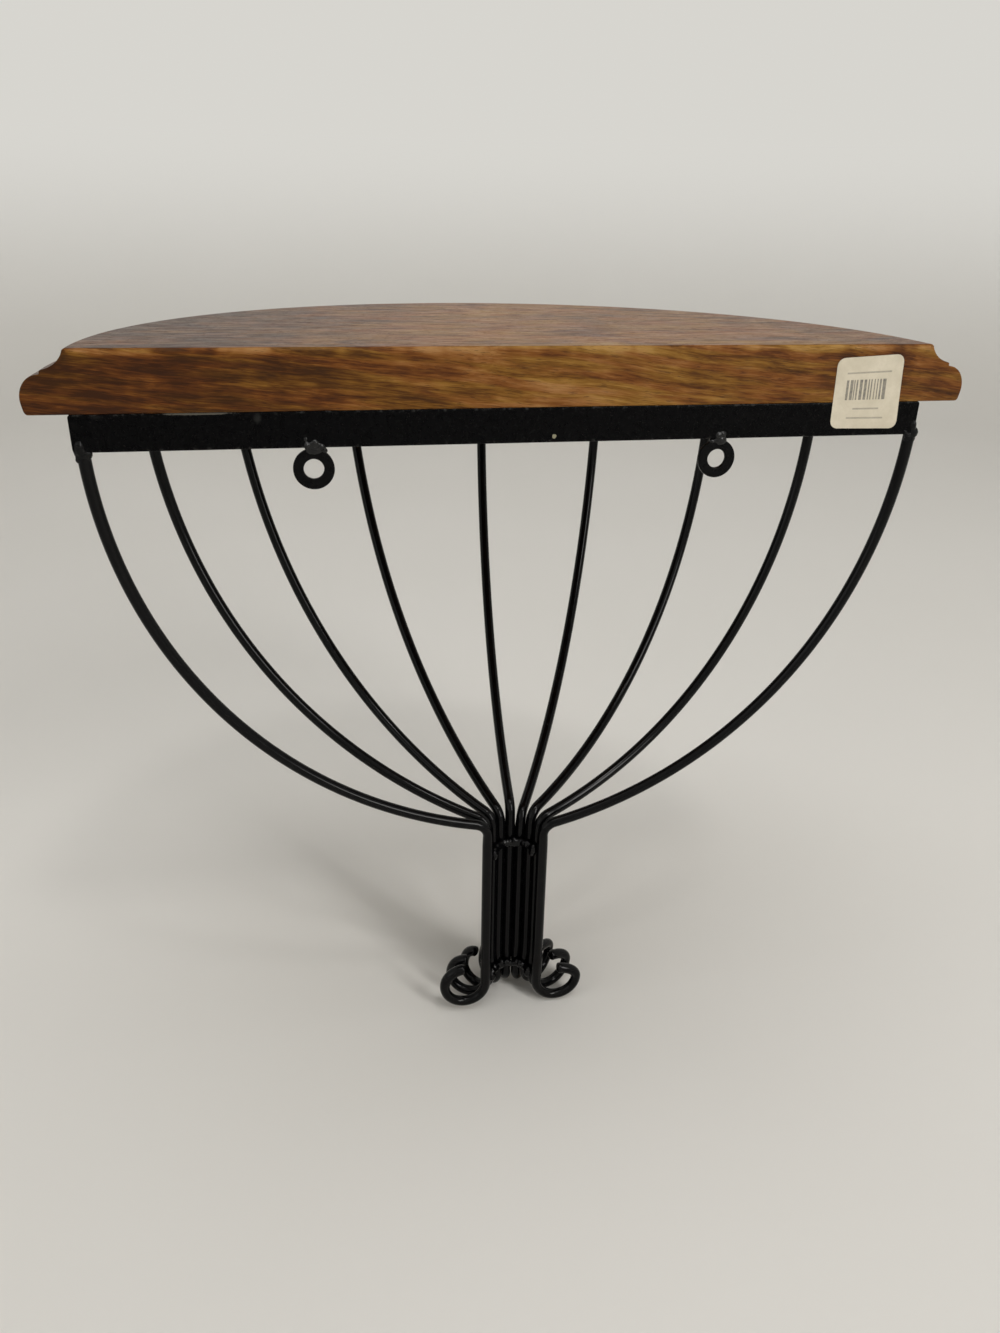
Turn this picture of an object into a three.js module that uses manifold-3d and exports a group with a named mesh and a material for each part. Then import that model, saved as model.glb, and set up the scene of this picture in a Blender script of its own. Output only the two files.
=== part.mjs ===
// Half-round wall shelf: a moulded wood board on a welded frame of flat bar and round wire.
// Millimetres, +Z up. The wall is the plane Y = 0 and the shelf stands out from it towards -Y.
// The origin is the middle of the board's sawn rear face. The frame is hand made, so the board and
// the bundle of wires sit a little off the bar's middle, and no two scrolls are quite alike.

import * as THREE from "three";
import { mergeVertices } from "three/addons/utils/BufferGeometryUtils.js";
import Module from "manifold-3d";

const wasm = await Module();
wasm.setup();

// Clearance between pieces that are welded or seated along a curve
const seatGap = 0.3;

// Board: a half disc whose curved edge is moulded, from the top down, as arris, cove, step and nose
const boardShift = -1.5; // the board's middle along the wall, from the back bar's middle
const boardThickness = 22.4;
const topFaceRadius = 163.4;
const arrisRadius = 1.3;
const coveReach = 8.1;
const coveShoulder = 2; // how far the cove's hollow reaches out under the arris
const coveSag = 1.3; // height of the cove's hollow above the step
const stepHeight = 1.4;
const stepReach = 0.6;
const noseReach = 7.2;
const noseHeight = 13.8;
const noseWaist = 4.5;
const footInset = 1.8;

// Frame: flat bar on edge, straight along the wall and bent to a half circle under the board
const barHeight = 13.4;
const barThickness = 3;
const frameRadius = 164.5;
const barCornerRadius = 1.2;

// Wires: each sweeps in from the frame, turns down into the bundle and ends in a scroll. They are
// bent by hand, so the lists give each wire's own size, from the +X end of the hoop round to the -X end.
const wireDiameter = 4.8;
const wireBearings = [0, 24.8, 45.5, 68.6, 94.1, 116.2, 137.7, 158.3, 180]; // degrees round the hoop
const endWireInsets = [1.6, -0.8]; // how far inside the hoop's middle line the two end wires stand
const bundleRadius = 13;
const bundleShift = -1.5; // the bundle's middle along the wall, from the back bar's middle
const sweepRadii = [183.7, 194.1, 209, 218.2, 188.9, 184.5, 171.6, 179.1, 188.2];
const sweepLevels = [8.8, 0.9, -10.4, -16.9, 3.5, 11.5, 20.2, 15.1, 7.7]; // depths of the sweeps' centres
const neckRadius = 7;
const scrollLevel = 295.5; // depth of the scrolls' lowest points below the frame's top
const scrollTrims = [-2.6, -0.9, -0.1, -0.1, 0.1, 0.1, 0.5, 0.1, 0]; // how much lower each one lies
const scrollRadii = [10.2, 9.1, 8, 6.6, 8.6, 9, 11, 10.6, 10.3];
const scrollHeights = [20.3, 19.5, 19.6, 18.4, 18.1, 17.6, 15.7, 16.9, 16.6]; // lowest point to tail's top
const scrollTailTurn = 88; // degrees from a scroll's widest point up to its cut end

// Hanging eyes: flat steel rings under the back bar
const eyePlaces = { left: 80.6, right: -79 };
const eyeDiameter = 15.6;
const eyeHole = 7.6;
const eyeThickness = 2;

// Welds
const eyeWeldWidth = 7.4;
const eyeWeldHeight = 7.6;
const weldProud = 1.3; // how far a weld lump stands out of the bar's rear face
const wireWeldSpread = 1.7;
const wireWeldLength = 3;
const weldSkirt = 0.6; // how thick a fillet is at its thin end
const cornerWeldSpread = 1;
const cornerWeldHeight = 9;
const cornerWeldRise = 1.2; // the middle of an end wire's weld stands this far above the bar's lower edge
const beadThickness = 4;
const topBeadLevel = 207; // depth below the frame's top
const bottomBeadRise = 15; // above the scrolls' lowest points
const beadEndBearing = 17; // degrees from the wall plane to each end of a bead

// Board fixing: drilled tabs inside the frame, each with a pan-head wood screw
const tabWidth = 16;
const tabLength = 22;
const tabThickness = 2.5;
const tabHole = 4.6;
const tabHoleInset = 7; // from the tab's free end
const backTabInset = 54.5; // from the back bar's end
const hoopTabBearings = [60, 120];
const screwDiameter = 3.5;
const screwLength = 16;
const screwHeadDiameter = 7;
const screwHeadHeight = 2.4;
const screwHeadFlat = 3.8; // diameter of the flat on a head's crown
const screwTipLength = 4;
const pilotEndRoom = 1;

// Places that follow from the sizes above
const wireRadius = wireDiameter / 2;
const wirePlane = -wireRadius; // the outer wires lie flush with the wall plane
const hoopCentre = -barThickness; // the hoop starts where the back bar's front face is
const hoopMidRadius = frameRadius - barThickness / 2;
const hoopInnerRadius = frameRadius - barThickness;

// Facets
const roundSides = 24;
const wireSides = 10;
const latheTurn = 96;

const stainedWood = new THREE.Color(0x7a5630);
const steelBlack = new THREE.Color(0x1c1d1e);
const zinc = new THREE.Color(0x9a9a94);

const radians = THREE.MathUtils.degToRad;

function woodFinish() {
  return new THREE.MeshStandardMaterial({ color: stainedWood, roughness: 0.55, metalness: 0 });
}

function paintFinish() {
  return new THREE.MeshStandardMaterial({ color: steelBlack, roughness: 0.4, metalness: 0.3 });
}

function screwFinish() {
  return new THREE.MeshStandardMaterial({ color: zinc, roughness: 0.35, metalness: 0.9 });
}

// Everything is modelled from the middle of the back bar, with the board above Z = 0 and the frame
// below it. The group is then set so that the middle of the board's rear face is the origin.
const shelf = new THREE.Group();
shelf.position.set(-boardShift, 0, -boardThickness / 2);

function add(name, geometry, material) {
  const mesh = new THREE.Mesh(geometry, material);
  mesh.name = name;
  shelf.add(mesh);
  return mesh;
}

function toSolid(geometry) {
  const bare = geometry.clone();
  bare.deleteAttribute("normal");
  bare.deleteAttribute("uv");
  const merged = mergeVertices(bare, 1e-4);
  const vertProperties = new Float32Array(merged.attributes.position.array);
  const triVerts = new Uint32Array(merged.index.array);
  return new wasm.Manifold(new wasm.Mesh({ numProp: 3, vertProperties, triVerts }));
}

function toGeometry(solid) {
  const mesh = solid.getMesh();
  const geometry = new THREE.BufferGeometry();
  geometry.setAttribute("position", new THREE.BufferAttribute(mesh.vertProperties, 3));
  geometry.setIndex(new THREE.BufferAttribute(mesh.triVerts, 1));
  return geometry;
}

// Cuts every cutter out of a geometry
function cut(geometry, cutters) {
  let solid = toSolid(geometry);
  for (const cutter of cutters) {
    solid = solid.subtract(toSolid(cutter));
  }
  return toGeometry(solid);
}

// A solid turned about the vertical axis, from a profile of [radius, height] points
function turned(profile, segments) {
  const points = profile.map(([radius, height]) => new THREE.Vector2(radius, height));
  return new THREE.LatheGeometry(points, segments).rotateX(Math.PI / 2);
}

// An upright cylinder from one height to another
function upright(radius, bottom, top, sides, x = 0, y = 0) {
  const cylinder = new THREE.CylinderGeometry(radius, radius, top - bottom, sides);
  return cylinder.rotateX(Math.PI / 2).translate(x, y, (bottom + top) / 2);
}

function circle(radius, sides) {
  const points = [];
  for (let i = 0; i < sides; i += 1) {
    const angle = (2 * Math.PI * (i + 0.5)) / sides;
    points.push(new THREE.Vector2(radius * Math.cos(angle), radius * Math.sin(angle)));
  }
  return points;
}

// A point on a horizontal circle, by its bearing from +X round towards -Y
function onCircle(radius, bearing, centreY) {
  const angle = radians(bearing);
  return new THREE.Vector2(radius * Math.cos(angle), centreY - radius * Math.sin(angle));
}

// Fixing places: the middle of each tab's welded end, and the way the tab points from there
function tabPlaces() {
  const places = [];
  for (const side of [1, -1]) {
    const root = new THREE.Vector2(side * (frameRadius - backTabInset), -barThickness);
    places.push({ root, heading: -Math.PI / 2 });
  }
  const reach = Math.sqrt((hoopInnerRadius - seatGap) ** 2 - (tabWidth / 2) ** 2);
  for (const bearing of hoopTabBearings) {
    const root = onCircle(reach, bearing, hoopCentre);
    places.push({ root, heading: Math.PI - radians(bearing) });
  }
  return places;
}

function screwPlace({ root, heading }) {
  const reach = tabLength - tabHoleInset;
  return new THREE.Vector2(root.x + reach * Math.cos(heading), root.y + reach * Math.sin(heading));
}

// The board's section, from the middle of its underside round the moulding to the middle of its top
function boardProfile() {
  const stepRadius = topFaceRadius + arrisRadius + coveReach;
  const noseCentre = stepRadius + stepReach;
  const noseTip = noseCentre + noseReach;
  const coveBottom = noseHeight + stepHeight;
  const coveTop = boardThickness - arrisRadius;
  const path = new THREE.Path();
  path.moveTo(noseTip - footInset, 0);
  path.quadraticCurveTo(noseTip, 0, noseTip, noseWaist);
  const foot = path.getPoints(4);
  const nose = new THREE.EllipseCurve(
    noseCentre, noseWaist, noseReach, noseHeight - noseWaist, 0, Math.PI / 2,
  ).getPoints(8);
  const cove = new THREE.QuadraticBezierCurve(
    new THREE.Vector2(stepRadius, coveBottom),
    new THREE.Vector2(topFaceRadius + arrisRadius + coveShoulder, coveBottom + coveSag),
    new THREE.Vector2(topFaceRadius + arrisRadius, coveTop),
  ).getPoints(6);
  const arris = new THREE.EllipseCurve(
    topFaceRadius, coveTop, arrisRadius, arrisRadius, 0, Math.PI / 2,
  ).getPoints(3);
  const outline = [...foot, ...nose.slice(1), ...cove, ...arris.slice(1)];
  return [[0, 0], ...outline.map((point) => [point.x, point.y]), [0, boardThickness]];
}

// The whole turned disc is sawn in half at the wall plane and drilled for the screws
function makeBoard() {
  const disc = turned(boardProfile(), latheTurn).rotateZ(Math.PI / latheTurn).translate(boardShift, 0, 0);
  const span = 4 * topFaceRadius;
  const sawn = new THREE.BoxGeometry(span, span, span).translate(0, span / 2, 0);
  const pilotDepth = screwLength - tabThickness + pilotEndRoom;
  const pilots = tabPlaces().map((place) => {
    const { x, y } = screwPlace(place);
    return upright(screwDiameter / 2 + seatGap, -pilotEndRoom, pilotDepth, 12, x, y);
  });
  add("shelf_board", cut(disc, [sawn, ...pilots]), woodFinish());
}

function makeBackBar() {
  const r = barCornerRadius;
  const w = frameRadius;
  const outline = new THREE.Shape();
  outline.absarc(w - r, -r, r, Math.PI / 2, 0, true);
  outline.absarc(w - r, r - barHeight, r, 0, -Math.PI / 2, true);
  outline.absarc(r - w, r - barHeight, r, -Math.PI / 2, -Math.PI, true);
  outline.absarc(r - w, -r, r, Math.PI, Math.PI / 2, true);
  const bar = new THREE.ExtrudeGeometry(outline, {
    depth: barThickness, bevelEnabled: false, curveSegments: 3,
  });
  add("back_bar", bar.rotateX(Math.PI / 2), paintFinish());
}

function makeHoop() {
  const outline = new THREE.Shape();
  outline.absarc(0, 0, frameRadius, Math.PI, 2 * Math.PI, false);
  outline.absarc(0, 0, hoopInnerRadius, 2 * Math.PI, Math.PI, true);
  const hoop = new THREE.ExtrudeGeometry(outline, {
    depth: barHeight, bevelEnabled: false, curveSegments: latheTurn / 4,
  });
  add("hoop_bar", hoop.translate(0, hoopCentre, -barHeight), paintFinish());
}

// One stretch of a bent wire: an arc in the wire's own upright plane, round unless a rise is given
function arcRun(centre, radius, from, to, steps, rise = radius) {
  const at = (t) => {
    const angle = from + (to - from) * t;
    return [centre[0] + radius * Math.cos(angle), centre[1] + rise * Math.sin(angle)];
  };
  return { at, steps };
}

function straightRun(start, end, steps) {
  const at = (t) => [start[0] + (end[0] - start[0]) * t, start[1] + (end[1] - start[1]) * t];
  return { at, steps };
}

// A wire's centre line. Each stretch has its own number of steps, so that tight bends stay smooth.
class WireLine extends THREE.Curve {
  constructor(runs, slot, outward) {
    super();
    this.runs = runs;
    this.slot = slot;
    this.outward = outward;
    this.steps = runs.reduce((sum, run) => sum + run.steps, 0);
  }

  getPoint(t, target = new THREE.Vector3()) {
    let left = t * this.steps;
    let index = 0;
    while (index < this.runs.length - 1 && left > this.runs[index].steps) {
      left -= this.runs[index].steps;
      index += 1;
    }
    const run = this.runs[index];
    const [out, height] = run.at(left / run.steps);
    return target.set(this.slot.x + out * this.outward.x, this.slot.y + out * this.outward.y, height);
  }

  getPointAt(t, target) {
    return this.getPoint(t, target);
  }

  getTangentAt(t, target) {
    return this.getTangent(t, target);
  }
}

// Where each wire stands in the bundle, and where its top meets the frame
function wireSlot(index) {
  const spacing = 180 / (wireBearings.length - 1);
  const slot = onCircle(bundleRadius, index * spacing, wirePlane);
  slot.x += bundleShift;
  return slot;
}

function wireSeat(index) {
  const end = index === 0 || index === wireBearings.length - 1;
  if (!end) {
    return onCircle(hoopMidRadius, wireBearings[index], hoopCentre);
  }
  const inset = endWireInsets[index === 0 ? 0 : 1];
  return onCircle(hoopMidRadius - inset, wireBearings[index], wirePlane);
}

// The wire's centre line, begun a lead further up than its real end where a room is made from it
function wireLine(index, lead) {
  const slot = wireSlot(index);
  const outward = wireSeat(index).sub(slot);
  const reach = outward.length();
  outward.normalize();

  const sweepRadius = sweepRadii[index];
  const sweepLevel = sweepLevels[index];
  const topAngle = Math.asin((barHeight + seatGap - sweepLevel) / sweepRadius);
  const sweepCentre = [reach - sweepRadius * Math.cos(topAngle), -sweepLevel];
  const neckOut = neckRadius - sweepCentre[0];
  const neckDrop = Math.sqrt((sweepRadius + neckRadius) ** 2 - neckOut ** 2);
  const neckCentre = [neckRadius, -sweepLevel - neckDrop];
  const neckAngle = Math.atan2(neckDrop, neckOut);
  const scrollRadius = scrollRadii[index];
  const scrollCentre = [scrollRadius, scrollRadius - scrollLevel - scrollTrims[index]];
  const tailRise = scrollHeights[index] - scrollRadius;

  const runs = [
    arcRun(sweepCentre, sweepRadius, lead / sweepRadius - topAngle, -neckAngle, 16),
    arcRun(neckCentre, neckRadius, Math.PI - neckAngle, Math.PI, 5),
    straightRun([0, neckCentre[1]], [0, scrollCentre[1]], 1),
    arcRun(scrollCentre, scrollRadius, Math.PI, 2 * Math.PI, 11),
    arcRun(scrollCentre, scrollRadius, 0, radians(scrollTailTurn), 5, tailRise),
  ];
  return new WireLine(runs, slot, outward);
}

// A wire, or with a clearance all round, the room that a weld leaves for it
function wireBody(index, clearance) {
  const line = wireLine(index, 3 * clearance);
  const section = new THREE.Shape(circle(wireRadius + clearance, wireSides));
  return new THREE.ExtrudeGeometry(section, { steps: line.steps, extrudePath: line });
}

function makeWires() {
  for (let index = 0; index < wireBearings.length; index += 1) {
    add(`wire_${index + 1}`, wireBody(index, 0), paintFinish());
  }
}

// The room that a weld leaves for the back bar, as long as if the bar ran on past its ends
function barRoom() {
  const grow = 2 * seatGap;
  const room = new THREE.BoxGeometry(4 * frameRadius, barThickness + grow, barHeight + grow);
  return room.translate(0, -barThickness / 2, -barHeight / 2);
}

// An egg-shaped lump of weld
function lump(width, depth, height, x, y, z) {
  return new THREE.SphereGeometry(1, 12, 8).scale(width / 2, depth / 2, height / 2).translate(x, y, z);
}

// Under the hoop each wire has a fillet all round. The two outer wires' welds also run up
// the back of the bar's ends.
function makeWireWelds() {
  const last = wireBearings.length - 1;
  const inner = wireRadius + seatGap;
  const outer = inner + wireWeldSpread;
  const hollow = new THREE.QuadraticBezierCurve(
    new THREE.Vector2(inner + weldSkirt, -wireWeldLength),
    new THREE.Vector2(inner + weldSkirt, -wireWeldLength / 2),
    new THREE.Vector2(outer, 0),
  ).getPoints(2);
  const filletProfile = [[0, -wireWeldLength], ...hollow.map((point) => [point.x, point.y]), [0, 0]];
  for (let index = 0; index <= last; index += 1) {
    const { x, y } = wireSeat(index);
    const rooms = [wireBody(index, seatGap)];
    let weld;
    if (index === 0 || index === last) {
      const width = 2 * (inner + cornerWeldSpread);
      const depth = weldProud + barThickness + seatGap;
      const middle = weldProud - depth / 2;
      weld = lump(width, depth, cornerWeldHeight, x, middle, cornerWeldRise - barHeight);
      rooms.push(barRoom());
    } else {
      weld = turned(filletProfile, wireSides).translate(x, y, -barHeight);
    }
    add(`wire_weld_${index + 1}`, cut(weld, rooms), paintFinish());
  }
}

// Flat rings that stand under the back bar, each held by a weld lump across their joint
function makeEyes() {
  const eyeRadius = eyeDiameter / 2;
  const centreZ = -barHeight - seatGap - eyeRadius;
  const centreY = -barThickness / 2;
  for (const [side, x] of Object.entries(eyePlaces)) {
    const placed = (geometry) => geometry.rotateX(Math.PI / 2).translate(x, centreY, centreZ);

    const outline = new THREE.Shape(circle(eyeRadius, roundSides));
    outline.holes.push(new THREE.Path(circle(eyeHole / 2, roundSides)));
    const plate = { depth: eyeThickness, bevelEnabled: false };
    const eye = new THREE.ExtrudeGeometry(outline, plate).translate(0, 0, -eyeThickness / 2);
    add(`hanger_ring_${side}`, placed(eye), paintFinish());

    const room = { depth: eyeThickness + 2 * seatGap, bevelEnabled: false };
    const eyeRoom = new THREE.ExtrudeGeometry(
      new THREE.Shape(circle(eyeRadius + seatGap, roundSides)), room,
    ).translate(0, 0, -room.depth / 2);
    const depth = 2 * (weldProud - centreY);
    const bead = lump(eyeWeldWidth, depth, eyeWeldHeight, x, centreY, -barHeight);
    add(`ring_weld_${side}`, cut(bead, [barRoom(), placed(eyeRoom)]), paintFinish());
  }
}

// Weld beads round the inside of the bundle, cut back from the wires that they join
function makeBundleWelds() {
  const wireRooms = Array.from(wireBearings.keys(), (index) => wireBody(index, seatGap));
  const beadRadius = bundleRadius - wireRadius - beadThickness / 4;
  const beadSection = new THREE.Shape(circle(beadThickness / 2, 6));
  const levels = { top: topBeadLevel, bottom: scrollLevel - bottomBeadRise };
  for (const [end, level] of Object.entries(levels)) {
    const arc = new THREE.EllipseCurve(
      bundleShift, wirePlane, beadRadius, beadRadius,
      -radians(beadEndBearing), radians(beadEndBearing) - Math.PI, true,
    );
    const line = new THREE.CatmullRomCurve3(
      arc.getPoints(12).map((point) => new THREE.Vector3(point.x, point.y, -level)),
    );
    const bead = new THREE.ExtrudeGeometry(beadSection, { steps: 12, extrudePath: line });
    add(`bundle_weld_${end}`, cut(bead, wireRooms), paintFinish());
  }
}

// Drilled tabs flush with the frame's top, and the screws that go up through them
function makeTabsAndScrews() {
  const half = tabWidth / 2;
  const corner = half / 2;
  const holeAt = tabLength - tabHoleInset;
  const outline = new THREE.Shape();
  outline.moveTo(0, -half);
  outline.lineTo(tabLength - corner, -half);
  outline.absarc(tabLength - corner, corner - half, corner, -Math.PI / 2, 0, false);
  outline.absarc(tabLength - corner, half - corner, corner, 0, Math.PI / 2, false);
  outline.lineTo(0, half);
  const hole = circle(tabHole / 2, 12).map((point) => new THREE.Vector2(point.x + holeAt, point.y));
  outline.holes.push(new THREE.Path(hole));
  const plate = { depth: tabThickness, bevelEnabled: false, curveSegments: 3 };

  const shank = screwDiameter / 2;
  const head = screwHeadDiameter / 2;
  const crown = new THREE.QuadraticBezierCurve(
    new THREE.Vector2(screwHeadFlat / 2, -screwHeadHeight),
    new THREE.Vector2(head, -screwHeadHeight),
    new THREE.Vector2(head, 0),
  ).getPoints(3);
  const screwProfile = [
    [0, -screwHeadHeight],
    ...crown.map((point) => [point.x, point.y]),
    [shank, 0],
    [shank, screwLength - screwTipLength],
    [0, screwLength],
  ];

  tabPlaces().forEach((place, index) => {
    const tab = new THREE.ExtrudeGeometry(outline, plate).rotateZ(place.heading);
    tab.translate(place.root.x, place.root.y, -tabThickness);
    add(`tab_${index + 1}`, tab, paintFinish());

    const { x, y } = screwPlace(place);
    const screw = turned(screwProfile, 12).translate(x, y, -tabThickness);
    add(`tab_screw_${index + 1}`, screw, screwFinish());
  });
}

makeBoard();
makeBackBar();
makeHoop();
makeWires();
makeWireWelds();
makeEyes();
makeBundleWelds();
makeTabsAndScrews();

export default shelf;
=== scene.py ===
import math
import random

import bmesh
import bpy
from mathutils import Matrix, Vector, noise


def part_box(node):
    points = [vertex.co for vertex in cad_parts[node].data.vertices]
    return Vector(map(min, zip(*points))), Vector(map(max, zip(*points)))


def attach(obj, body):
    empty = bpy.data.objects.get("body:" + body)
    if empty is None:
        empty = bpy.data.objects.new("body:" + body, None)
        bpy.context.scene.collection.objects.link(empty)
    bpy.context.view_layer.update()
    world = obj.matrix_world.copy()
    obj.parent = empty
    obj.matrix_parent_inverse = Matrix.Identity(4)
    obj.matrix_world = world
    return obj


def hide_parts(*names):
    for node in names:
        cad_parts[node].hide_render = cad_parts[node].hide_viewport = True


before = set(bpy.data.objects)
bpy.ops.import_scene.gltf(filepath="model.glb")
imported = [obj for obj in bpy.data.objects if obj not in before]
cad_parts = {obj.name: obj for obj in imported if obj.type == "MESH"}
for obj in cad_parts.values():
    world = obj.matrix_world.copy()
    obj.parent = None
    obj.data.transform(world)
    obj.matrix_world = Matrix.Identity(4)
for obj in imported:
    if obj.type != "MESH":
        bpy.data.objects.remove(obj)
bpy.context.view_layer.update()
mm = 0.001


# Camera: it stands behind the shelf and above it, a little towards +X, as in the photograph,
# and looks down at the back of the board and through the cage of wires.
camera_place = Vector((85.7, 374.32, 60.44)) * mm
camera_right = Vector((-0.98164, 0.18968, 0.02034))
camera_up = Vector((-0.0626, -0.4208, 0.9050))
camera_back = Vector((0.18022, 0.88709, 0.42496))


def add_to_scene(name, data):
    """A new object in the scene."""
    made = bpy.data.objects.new(name, data)
    bpy.context.scene.collection.objects.link(made)
    return made


camera_data = bpy.data.cameras.new("camera")
camera_data.sensor_fit = "HORIZONTAL"
camera_data.sensor_width = 36
camera_data.lens = 35.916
camera_data.clip_start = 0.01
camera = add_to_scene("camera", camera_data)
camera_axes = Matrix((camera_right, camera_up, camera_back)).transposed().to_4x4()
camera.matrix_world = Matrix.Translation(camera_place) @ camera_axes
bpy.context.scene.camera = camera
bpy.context.scene.view_settings.view_transform = "Standard"


# The board: one piece of brown stained hardwood with the grain along the wall, sawn flat at the
# back. The curved edge is moulded with an arris, a cove, a small bead, a step and a nose, and
# the whole is lacquered. It lies on the frame and is screwed to it from below.
board_low, board_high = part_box("shelf_board")
board_reach = board_high.x / mm
board_base = board_low.z
board_height = (board_high.z - board_low.z) / mm
board_turns = 144
board_rear_step = 5
rear_edge_turns = (90, 60, 30, 0)
worn_turns = (60, 30)
top_softness, foot_softness, side_softness = 1.45, 0.6, 0.45


def arc_points(centre, reach, rise, start, end, steps):
    """Points on an arc of an ellipse, by angles in degrees from the first axis to the second."""
    angles = [math.radians(start + (end - start) * i / steps) for i in range(steps + 1)]
    return [(centre[0] + reach * math.cos(a), centre[1] + rise * math.sin(a)) for a in angles]


def bend_points(start, control, end, steps):
    """Points on a smooth bend from start to end that is drawn towards a control point."""
    corners = (start, control, end)
    points = []
    for i in range(steps + 1):
        t = i / steps
        shares = ((1 - t) ** 2, 2 * t * (1 - t), t ** 2)
        points.append(tuple(sum(s * c[k] for s, c in zip(shares, corners)) for k in (0, 1)))
    return points


def ring_faces(rings, size, closed=False):
    """Four-sided faces between neighbouring rings that have the given number of points each."""
    faces = []
    for r in range(rings if closed else rings - 1):
        one, two = r * size, (r + 1) % rings * size
        for i in range(size):
            j = (i + 1) % size
            faces.append([one + i, one + j, two + j, two + i])
    return faces


def board_moulding():
    """The moulded edge from the underside to the top, as [radius, height] in mm."""
    tip = board_reach
    foot = bend_points((tip - 2.1, 0), (tip - 0.7, 0), (tip - 0.45, 2), 5)
    side = bend_points((tip - 0.45, 2), (tip - 0.05, 3.8), (tip, 5.2), 3)[1:]
    nose = arc_points((tip - 7.2, 5.2), 7.2, 8.6, 0, 88, 14)[1:]
    notch = [(tip - 7.55, 13.95), (tip - 7.7, 14.3)]
    bead = arc_points((tip - 8.3, 14.55), 0.6, 0.75, 0, 75, 4)
    cove = bend_points((tip - 8.4, 15.35), (tip - 13.9, 16.6), (tip - 15.9, board_height - 1.4), 10)
    arris = arc_points((tip - 17.4, board_height - 1.5), 1.5, 1.5, 5, 90, 6)
    return foot + side + nose + notch + bead + cove + arris


def make_piece(name, points, faces, edge_marks=None, sharp=38):
    """A piece from points in metres, smooth but for its sharp edges. Its worn edges are marked."""
    mesh = bpy.data.meshes.new(name)
    mesh.from_pydata([tuple(p) for p in points], [], faces)
    tidy = bmesh.new()
    tidy.from_mesh(mesh)
    bmesh.ops.recalc_face_normals(tidy, faces=tidy.faces)
    tidy.to_mesh(mesh)
    tidy.free()
    mesh.shade_smooth()
    mesh.set_sharp_from_angle(angle=math.radians(sharp))
    if edge_marks:
        marks = mesh.attributes.new("edge", "FLOAT", "POINT")
        marks.data.foreach_set("value", edge_marks)
    return add_to_scene(name, mesh)


def even_shading(piece):
    """Keeps large flat faces flat in the light where they meet small rounded edges."""
    weights = piece.modifiers.new("even shading", "WEIGHTED_NORMAL")
    weights.keep_sharp = True


def make_board():
    edge = board_moulding()
    span = edge[-1][0]
    runs = int(2 * span / board_rear_step)
    foot_span = edge[0][0]
    top_line = [(span * (1 - 2 * i / runs), board_height) for i in range(1, runs)]
    base_line = [(-foot_span * (1 - 2 * i / runs), 0) for i in range(1, runs)]
    outline = edge + top_line + [(-r, z) for r, z in reversed(edge)] + base_line
    count, moulded = len(outline), len(edge)

    # the softened edge all round the sawn face: wider along the top, where it has been handled
    def softening(x, z):
        wear = noise.noise(Vector((x * 0.045, z * 0.2, 3.1)))
        if z > board_height - 0.01:
            nicks = noise.noise(Vector((x * 0.21, 0.7, 5.3)))
            return top_softness + 0.75 * wear + 0.35 * nicks
        return (foot_softness if z < 0.01 else side_softness) + 0.2 * wear

    inward = []
    for i, (x, z) in enumerate(outline):
        before, after = outline[i - 1], outline[(i + 1) % count]
        along = Vector((after[0] - before[0], after[1] - before[1])).normalized()
        inward.append((-along.y, along.x))
    points, marks = [], []
    for turn in rear_edge_turns:
        for (x, z), (nx, nz) in zip(outline, inward):
            soft = softening(x, z)
            inset = soft * (1 - math.cos(math.radians(turn)))
            back = soft * (1 - math.sin(math.radians(turn)))
            points.append(Vector((x + nx * inset, -back, z + nz * inset)))
            marks.append(1.0 if turn in worn_turns else 0.0)
    faces = [list(range(count))] + ring_faces(len(rear_edge_turns), count)

    # the moulded edge, turned round from one end of the sawn face to the other
    rim = (len(rear_edge_turns) - 1) * count
    chains = [[rim + i for i in range(moulded)]]
    for turn in range(1, board_turns):
        bearing = math.pi * turn / board_turns
        chains.append(list(range(len(points), len(points) + moulded)))
        for r, z in edge:
            points.append(Vector((r * math.cos(bearing), -r * math.sin(bearing), z)))
            marks.append(0.0)
    far = [rim + moulded + runs - 1 + i for i in range(moulded)]
    chains.append(list(reversed(far)))
    for one, two in zip(chains, chains[1:]):
        for i in range(moulded - 1):
            faces.append([one[i], one[i + 1], two[i + 1], two[i]])
    top_back = [rim + moulded + i for i in range(runs - 1)]
    base_back = [rim + 2 * moulded + runs - 1 + i for i in range(runs - 1)]
    faces.append([chain[-1] for chain in chains] + list(reversed(top_back)))
    faces.append([chain[0] for chain in chains] + base_back)
    points = [p * mm + Vector((0, 0, board_base)) for p in points]
    return make_piece("board_moulded", points, faces, marks)


def tint(red, green, blue):
    """A colour as a shader takes it, from its 0 to 255 values on a screen."""
    parts = []
    for level in (red, green, blue):
        share = level / 255
        parts.append(((share + 0.055) / 1.055) ** 2.4 if level > 10 else share / 12.92)
    return (*parts, 1.0)


def node(tree, kind, inputs=(), **settings):
    """Adds a shader node with its settings, and gives each input a value or a link."""
    made = tree.nodes.new("ShaderNode" + kind)
    for name, value in settings.items():
        setattr(made, name, value)
    for name, value in dict(inputs).items():
        if isinstance(value, bpy.types.NodeSocket):
            tree.links.new(value, made.inputs[name])
        else:
            made.inputs[name].default_value = value
    return made


def sums(tree, operation, *values):
    """One step of arithmetic."""
    return node(tree, "Math", dict(enumerate(values)), operation=operation).outputs[0]


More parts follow.
